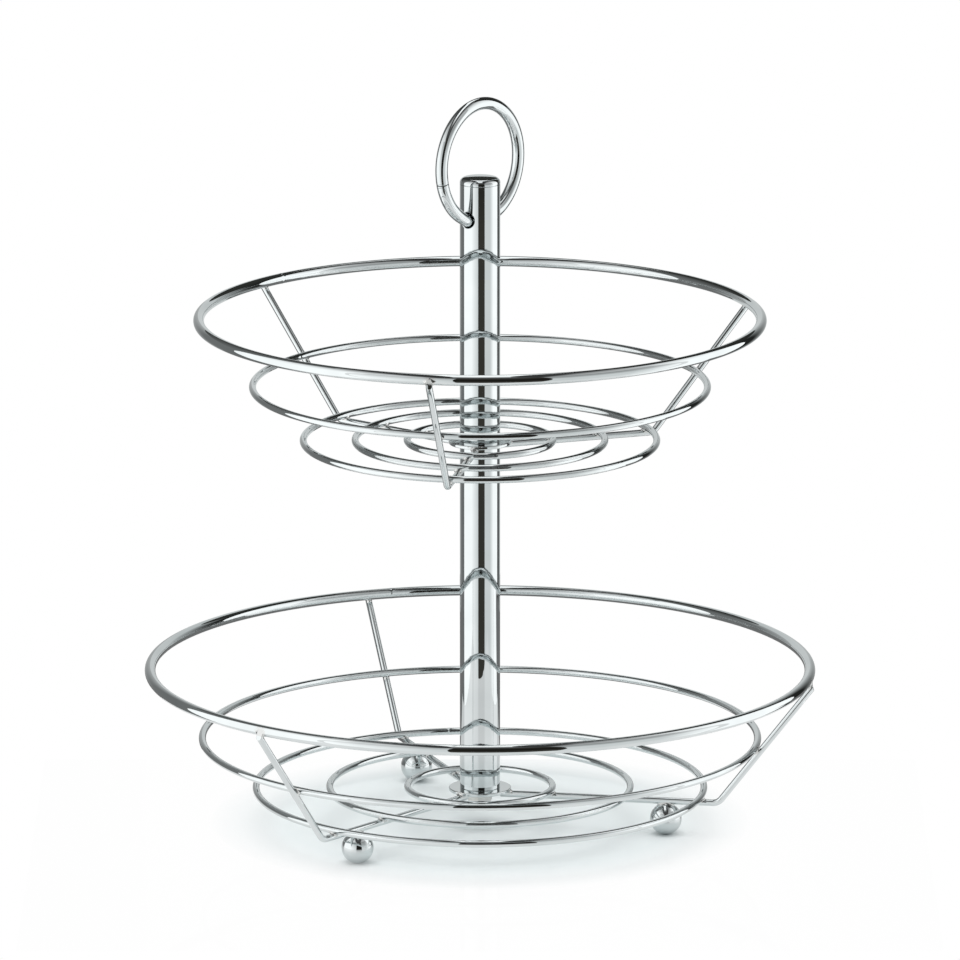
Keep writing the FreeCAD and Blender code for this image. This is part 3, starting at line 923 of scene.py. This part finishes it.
def add_base_screw():
    """A six sided head with its corners turned off, and a plain shank up into the plug."""
    low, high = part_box("base_screw")
    flat_radius = max(high.x, high.y) * math.cos(HEAD_SIDE / 2)
    head_top = low.z + HEAD_HEIGHT
    rows = [low.z + HEAD_ROW_HEIGHT * step for step in range(HEAD_ROWS)] + [head_top]

    def head_radius(turn, height):
        from_flat = (turn + HEAD_SIDE / 2) % HEAD_SIDE - HEAD_SIDE / 2
        cone = TURNED_SHARE * flat_radius + (height - low.z) / math.tan(TURNED_SLOPE)
        return min(flat_radius / math.cos(from_flat), cone)

    points = [Vector((0, 0, high.z))]
    for height in (high.z, head_top):
        points += head_row([THREAD_RADIUS] * HEAD_STEPS, height)
    for height in reversed(rows):
        points += head_row([head_radius(turn, height) for turn in head_turns], height)
    points.append(Vector((0, 0, low.z)))
    shape = Mesh(points, sphere_faces(len(rows) + 2, HEAD_STEPS))
    piece = add_piece("base_screw_forged", shape, zinc, STAND, ("base_screw",))
    piece.data.set_sharp_from_angle(angle=HEAD_SHARP)


add_base_screw()
washer_section = section_of("base_washer", PLATE_BORE, EDGE_EASE)
add_turned_ring("base_washer_stamped", "base_washer", washer_section, zinc)

for node in ("lower_tube_bottom_plug", "lower_tube_top_plug", "upper_tube_bottom_plug", "joining_stud"):
    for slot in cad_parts[node].material_slots:
        slot.material = zinc


# Camera at the photograph's angle

to_camera = math.cos(VIEW_ELEVATION) * view_front + math.sin(VIEW_ELEVATION) * UP

camera_data = bpy.data.cameras.new("camera")
camera_data.sensor_width = SENSOR_WIDTH
camera_data.lens = FOCAL_PIXELS / IMAGE_SIDE * SENSOR_WIDTH
camera = bpy.data.objects.new("camera", camera_data)
camera.location = VIEW_HEIGHT * UP + VIEW_DISTANCE * to_camera
camera.rotation_euler = to_camera.to_track_quat("Z", "Y").to_euler()
bpy.context.scene.collection.objects.link(camera)
bpy.context.scene.camera = camera


# Studio: white surroundings, a pale glossy table top, and panels that only the chrome and the table reflect

PURE_WHITE = (1, 1, 1, 1)
FILL = 0.8

TABLE_BACK = 0.118
TABLE_FRONT = 0.212
TABLE_HALF_WIDTH = 0.2
# The table's grey, which under the basket is also painted shade
TABLE_GREY_AND_PAINTED_SHADE = (0.84, 0.89, 0.895, 1)
TABLE_ROUGHNESS = 0.04
TABLE_IOR = 1.5
# The grey patch is partly the table's own grey and partly painted shade under the basket. Its middle lies
# this far behind the post, and it fades between these two distances from it.
SHADE_BEHIND = 0.01
SHADE_FADE = (0.088, 0.122)
# The share of the gloss that the picture shows, at two distances from the post
SHINE_FADE = (0.05, 0.13)
SHINE_SHARES = (0.2, 0.05)


def white_world():
    """White where it is seen or reflected, and a softer fill on what is matt."""
    world = bpy.data.worlds.new("studio")
    world.use_nodes = True
    tree = world.node_tree
    tree.nodes.clear()

    def background(strength):
        node = tree.nodes.new("ShaderNodeBackground")
        node.inputs["Color"].default_value = PURE_WHITE
        node.inputs["Strength"].default_value = strength
        return node.outputs["Background"]

    def larger(first, second):
        node = tree.nodes.new("ShaderNodeMath")
        node.operation = "MAXIMUM"
        tree.links.new(first, node.inputs[0])
        tree.links.new(second, node.inputs[1])
        return node.outputs["Value"]

    path = tree.nodes.new("ShaderNodeLightPath").outputs
    seen = larger(larger(path["Is Camera Ray"], path["Is Glossy Ray"]), path["Is Transmission Ray"])
    mix = tree.nodes.new("ShaderNodeMixShader")
    for place, socket in enumerate((seen, background(FILL), background(1.0))):
        tree.links.new(socket, mix.inputs[place])
    output = tree.nodes.new("ShaderNodeOutputWorld")
    tree.links.new(mix.outputs["Shader"], output.inputs["Surface"])
    bpy.context.scene.world = world


def table_material():
    """Pale grey under the basket, partly the table's own grey and partly painted shade, fading to the white
    of the surroundings.
    In the chrome the table is glossy all over. In the picture it has a little of that gloss, most of it close
    to the post.
    From below it is clear."""
    shader = Shader("table_top")
    where = shader.add("ShaderNodeTexCoord").outputs["Object"]
    radius = shader.add("ShaderNodeVectorMath", {0: where}, operation="LENGTH").outputs["Value"]
    behind = shader.add("ShaderNodeVectorMath", {0: where, 1: SHADE_BEHIND * view_front}).outputs["Vector"]
    from_shade = shader.add("ShaderNodeVectorMath", {0: behind}, operation="LENGTH").outputs["Value"]
    # Share of the grey: painted shade under the basket on top of the table's grey, full in the middle and
    # gone at the edge
    grey_and_painted_shade = shader.spread(from_shade, *SHADE_FADE, 1.0, 0.0)
    by_the_post = shader.spread(radius, *SHINE_FADE, *SHINE_SHARES)
    in_picture = shader.add("ShaderNodeLightPath").outputs["Is Camera Ray"]
    shine = shader.add("ShaderNodeMix", {0: in_picture, 2: 1.0, 3: by_the_post}).outputs[0]
    matt = shader.add("ShaderNodeBsdfDiffuse", {"Color": TABLE_GREY_AND_PAINTED_SHADE}).outputs["BSDF"]
    white = shader.add("ShaderNodeEmission", {"Color": PURE_WHITE, "Strength": 1.0}).outputs["Emission"]
    base = shader.add("ShaderNodeMixShader", {0: grey_and_painted_shade, 1: white, 2: matt}).outputs["Shader"]
    inputs = {"Color": PURE_WHITE, "Roughness": TABLE_ROUGHNESS}
    gloss = shader.add("ShaderNodeBsdfGlossy", inputs).outputs["BSDF"]
    fresnel = shader.add("ShaderNodeFresnel", {"IOR": TABLE_IOR}).outputs["Fac"]
    share = shader.math("MULTIPLY", fresnel, shine)
    surface = shader.add("ShaderNodeMixShader", {0: share, 1: base, 2: gloss}).outputs["Shader"]
    clear = shader.add("ShaderNodeBsdfTransparent").outputs["BSDF"]
    below = shader.add("ShaderNodeNewGeometry").outputs["Backfacing"]
    either = shader.add("ShaderNodeMixShader", {0: below, 1: surface, 2: clear}).outputs["Shader"]
    return shader.finish(either)


def add_table():
    corners = ((-1, -TABLE_BACK), (-1, TABLE_FRONT), (1, TABLE_FRONT), (1, -TABLE_BACK))
    points = [side * TABLE_HALF_WIDTH * view_side + front * view_front for side, front in corners]
    mesh = bpy.data.meshes.new("table_top")
    mesh.from_pydata(points, [], [[0, 1, 2, 3]])
    mesh.materials.append(table_material())
    table = bpy.data.objects.new("table_top", mesh)
    bpy.context.scene.collection.objects.link(table)


def panel_material():
    shader = Shader("studio_panel")
    glow = shader.add("ShaderNodeAttribute", attribute_name="glow").outputs["Color"]
    light = shader.add("ShaderNodeEmission", {"Color": glow, "Strength": 1.0}).outputs["Emission"]
    return shader.finish(light)


panel_glow = panel_material()
FAR = 1.0
NEAR = 0.48
PANEL_COLUMNS = 24
CEILING = 1.06
FLOOR_LEVEL = -0.6
BACKDROP_TOP = 0.39


def add_panel(name, points, faces, glows):
    """A panel that shows in reflections alone."""
    mesh = bpy.data.meshes.new(name)
    mesh.from_pydata(points, [], faces)
    mesh.materials.append(panel_glow)
    attribute = mesh.color_attributes.new("glow", "FLOAT_COLOR", "POINT")
    attribute.data.foreach_set("color", [value for glow in glows for value in (*glow, 1.0)])
    panel = bpy.data.objects.new(name, mesh)
    panel.visible_camera = False
    panel.visible_diffuse = False
    panel.visible_shadow = False
    bpy.context.scene.collection.objects.link(panel)


def grid_faces(columns, rows):
    """Faces of a grid of points that are counted up each column."""
    return [
        [rows * c + r, rows * (c + 1) + r, rows * (c + 1) + r + 1, rows * c + r + 1]
        for c in range(columns - 1)
        for r in range(rows - 1)
    ]


def add_curved_panel(name, radius, span, levels, first_glow, last_glow):
    """A panel round the basket. The span is in degrees from the camera's direction, to the right of it.
    Each level is a height and the share of the glow that is left there."""
    points, glows = [], []
    for column in range(PANEL_COLUMNS + 1):
        share = column / PANEL_COLUMNS
        turn = math.radians(span[0] + (span[1] - span[0]) * share)
        out = math.cos(turn) * view_front + math.sin(turn) * view_side
        glow = [a + (b - a) * share for a, b in zip(first_glow, last_glow)]
        for height, left in levels:
            points.append(radius * out + height * UP)
            glows.append([left * value for value in glow])
    add_panel(name, points, grid_faces(PANEL_COLUMNS + 1, len(levels)), glows)


def add_level_panel(name, height, fronts, columns):
    """A level panel. Its rows lie at the fronts, from behind the basket to before it. A column gives its
    sides, counted from the post to the right, and its brightness in these rows."""
    points, glows = [], []
    for sides, brightness in columns:
        for front, side, glow in zip(fronts, sides, brightness):
            points.append(side * view_side + front * view_front + height * UP)
            glows.append((glow, glow, glow))
    add_panel(name, points, grid_faces(len(columns), len(fronts)), glows)


BLACK = (0.05, 0.047, 0.04)
GREY = (0.86, 0.88, 0.88)
WHITE = (1.42, 1.42, 1.42)
BACK_LEFT = (0.2, 0.205, 0.205)
FAR_BACK_LEFT = (0.5, 0.51, 0.51)
BACK_RIGHT = (0.02, 0.021, 0.02)
FAR_BACK_RIGHT = (0.62, 0.64, 0.64)
DARK = (0.035, 0.036, 0.033)
BACKDROP = (0.7, 0.72, 0.72)

# Levels of the panels: heights, and the share of the glow that is left there
GAP = ((FLOOR_LEVEL, 1.0), (0.0, 1.0), (0.06, 0.3), (0.4, 0.3), (CEILING, 1.0))
LEFT_FLAG = ((FLOOR_LEVEL, 1.0), (0.1, 1.0), (CEILING, 0.5))
RIGHT_FLAG = ((FLOOR_LEVEL, 1.0), (0.2, 1.0), (0.55, 0.6), (CEILING, 0.35))
CARD = ((FLOOR_LEVEL, 1.0), (0.4, 1.0), (CEILING, 0.35))
LOW_BACK = ((FLOOR_LEVEL, 1.0), (BACKDROP_TOP, 1.0))
HIGH_BACK = ((BACKDROP_TOP, 1.0), (CEILING, 1.0))
MIDDLE_BACK = ((0.0, 1.0), (BACKDROP_TOP, 1.0))
UNDER_BACK = ((FLOOR_LEVEL, 1.0), (0.0, 1.0))
STRIP_BACK = ((0.65, 1.0), (CEILING, 1.0))

# Where one panel gives way to the next, in degrees from the camera's direction, to the right of it
GAP_LEFT = -10
GAP_RIGHT = 27
FADE_RIGHT = 60
CARD_END_LEFT = -102
CARD_END_RIGHT = 117
BACK_FADE_LEFT = -130
BACK_FADE_RIGHT = 126
HIGH_BACK_RIGHT = 150
BACKDROP_SPAN = (160, 200)
STRIP_SPAN = (168, 192)

# The strip hangs this far before the ceiling and the high back.
STRIP_OFF = 0.01
STRIP_GLOW = (1.42, 1.4, 0.6, 0.1, 0.07)
GROUND_LEVEL = -0.02
GROUND_GLOW = (0.2, 0.2)

white_world()
add_table()
add_curved_panel("gap_at_the_camera", FAR, (GAP_LEFT, GAP_RIGHT), GAP, BLACK, BLACK)
add_curved_panel("left_of_the_gap", FAR, (GAP_LEFT, -50), LEFT_FLAG, GREY, WHITE)
add_curved_panel("right_of_the_gap", FAR, (GAP_RIGHT, FADE_RIGHT), RIGHT_FLAG, GREY, GREY)
add_curved_panel("right_fade", FAR, (FADE_RIGHT, 82), RIGHT_FLAG, GREY, WHITE)
add_curved_panel("left_card", NEAR, (-48, CARD_END_LEFT), CARD, WHITE, WHITE)
add_curved_panel("right_card", NEAR, (80, CARD_END_RIGHT), CARD, WHITE, WHITE)
add_curved_panel("back_left", NEAR, (CARD_END_LEFT, BACK_FADE_LEFT), LOW_BACK, BACK_LEFT, BACK_LEFT)
add_curved_panel("far_back_left", NEAR, (BACK_FADE_LEFT, -160), LOW_BACK, BACK_LEFT, FAR_BACK_LEFT)
add_curved_panel("back_right", NEAR, (CARD_END_RIGHT, BACK_FADE_RIGHT), LOW_BACK, BACK_RIGHT, BACK_RIGHT)
add_curved_panel("far_back_right", NEAR, (BACK_FADE_RIGHT, 160), LOW_BACK, BACK_RIGHT, FAR_BACK_RIGHT)
add_curved_panel("high_back_left", NEAR, (CARD_END_LEFT, -165), HIGH_BACK, BACK_LEFT, DARK)
add_curved_panel("high_back_right", NEAR, (CARD_END_RIGHT, HIGH_BACK_RIGHT), HIGH_BACK, BACK_RIGHT, DARK)
add_curved_panel("high_back", NEAR, (HIGH_BACK_RIGHT, 195), HIGH_BACK, DARK, DARK)
add_curved_panel("backdrop", NEAR, BACKDROP_SPAN, MIDDLE_BACK, BACKDROP, BACKDROP)
add_curved_panel("under_the_backdrop", NEAR, BACKDROP_SPAN, UNDER_BACK, DARK, DARK)
# The ceiling is bright on the left, dark over the basket, and half bright on the right.
add_level_panel("ceiling", CEILING, (-NEAR, -0.1, 0.4, FAR), (
    ((-FAR, -FAR, -FAR, -FAR), (0.6, 0.9, 1.2, 1.4)),
    ((-0.42, -0.42, -0.42, -0.42), (0.3, 0.55, 0.75, 1.0)),
    ((-0.27, -0.27, -0.27, -0.27), (0.04, 0.05, 0.05, 0.1)),
    ((0.25, 0.25, 0.34, 0.42), (0.04, 0.06, 0.05, 0.05)),
    ((0.42, 0.42, 0.48, 0.56), (0.15, 0.4, 0.5, 0.55)),
    ((FAR, FAR, FAR, FAR), (0.25, 0.6, 0.8, 0.6)),
))
add_level_panel("strip_overhead", CEILING - STRIP_OFF, (-NEAR, 0.12, 0.3, 0.5, FAR), (
    ((-0.1, -0.1, -0.11, -0.13, -0.17), STRIP_GLOW),
    ((0.1, 0.1, 0.12, 0.2, 0.49), STRIP_GLOW),
))
add_curved_panel("strip_down_the_back", NEAR - STRIP_OFF, STRIP_SPAN, STRIP_BACK, WHITE, WHITE)
add_level_panel("ground_behind", GROUND_LEVEL, (-NEAR, -TABLE_BACK), (
    ((-NEAR, -NEAR), GROUND_GLOW),
    ((NEAR, NEAR), GROUND_GLOW),
))

LAMP_SIZE = 1.3
LAMP_POWER = 11.0
LAMP_HEIGHT = 1.6
LAMP_TO_THE_LEFT = 0.15
LAMP_TO_THE_FRONT = 0.1


def add_overhead_softbox():
    """Lights the table from above and gives the soft shadow."""
    data = bpy.data.lights.new("overhead_softbox", "AREA")
    data.shape = "SQUARE"
    data.size = LAMP_SIZE
    data.energy = LAMP_POWER
    lamp = bpy.data.objects.new("overhead_softbox", data)
    lamp.location = LAMP_HEIGHT * UP - LAMP_TO_THE_LEFT * view_side + LAMP_TO_THE_FRONT * view_front
    lamp.visible_camera = False
    lamp.visible_glossy = False
    bpy.context.scene.collection.objects.link(lamp)


add_overhead_softbox()
bpy.context.scene.view_settings.view_transform = "Standard"
